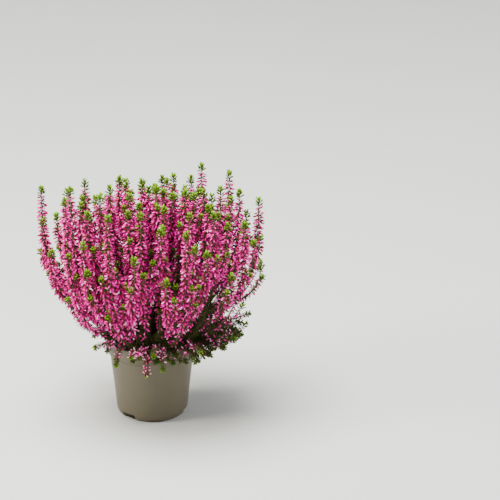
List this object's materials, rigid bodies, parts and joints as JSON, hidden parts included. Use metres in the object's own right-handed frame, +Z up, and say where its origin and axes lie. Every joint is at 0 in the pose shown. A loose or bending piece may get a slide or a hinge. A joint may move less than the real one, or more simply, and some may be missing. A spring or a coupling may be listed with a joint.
{
  "type": "potted heather",
  "caption": "Winter heather in full pink bloom: a dense bush of upright flower spikes with bright green tips, in a small tapered taupe plastic nursery pot.",
  "frame": {"origin": "on the pot's axis, on the surface that the pot stands on; the bush's bounding box is centred on it", "axes": "+Z up along the pot's axis, -Y towards the viewer of the plant's front, +X to that viewer's right"},
  "size_m": [0.3014, 0.301, 0.3456],
  "materials": {
    "pot_plastic": "satin taupe, faint moulding texture",
    "peat": "crumbly dark brown, matte",
    "foliage": "brown bark, dark green needles and bright yellow-green tips, slightly waxy",
    "petals": "soft, slightly translucent, deep pink to pale pink"
  },
  "bodies": {
    "root": {"pot": "pot_plastic", "soil": "peat", "leafy_stem_01": "foliage", "leafy_stem_02": "foliage", "leafy_stem_03": "foliage", "leafy_stem_04": "foliage", "leafy_stem_05": "foliage", "leafy_stem_06": "foliage", "leafy_stem_07": "foliage", "leafy_stem_08": "foliage", "leafy_stem_09": "foliage", "leafy_stem_10": "foliage", "leafy_stem_11": "foliage", "flowers_crown_01": "petals", "flowers_heart_01": "petals", "flowers_heart_02": "petals", "flowers_heart_03": "petals", "flowers_inner_01": "petals", "flowers_inner_02": "petals", "flowers_inner_03": "petals", "flowers_inner_04": "petals", "flowers_middle_01": "petals", "flowers_middle_02": "petals", "flowers_middle_03": "petals", "flowers_middle_04": "petals", "flowers_middle_05": "petals", "flowers_outer_01": "petals", "flowers_outer_02": "petals", "flowers_outer_03": "petals", "flowers_outer_04": "petals", "flowers_outer_05": "petals", "flowers_outer_06": "petals", "flowers_outer_07": "petals", "flowers_flank_01": "petals", "flowers_flank_02": "petals", "flowers_flank_03": "petals", "flowers_flank_04": "petals", "flowers_flank_05": "petals", "flowers_flank_06": "petals", "flowers_flank_07": "petals", "flowers_flank_08": "petals", "flowers_flank_09": "petals", "flowers_skirt_01": "petals", "flowers_skirt_02": "petals", "flowers_skirt_03": "petals", "flowers_skirt_04": "petals", "flowers_skirt_05": "petals"}
  },
  "joints": []
}
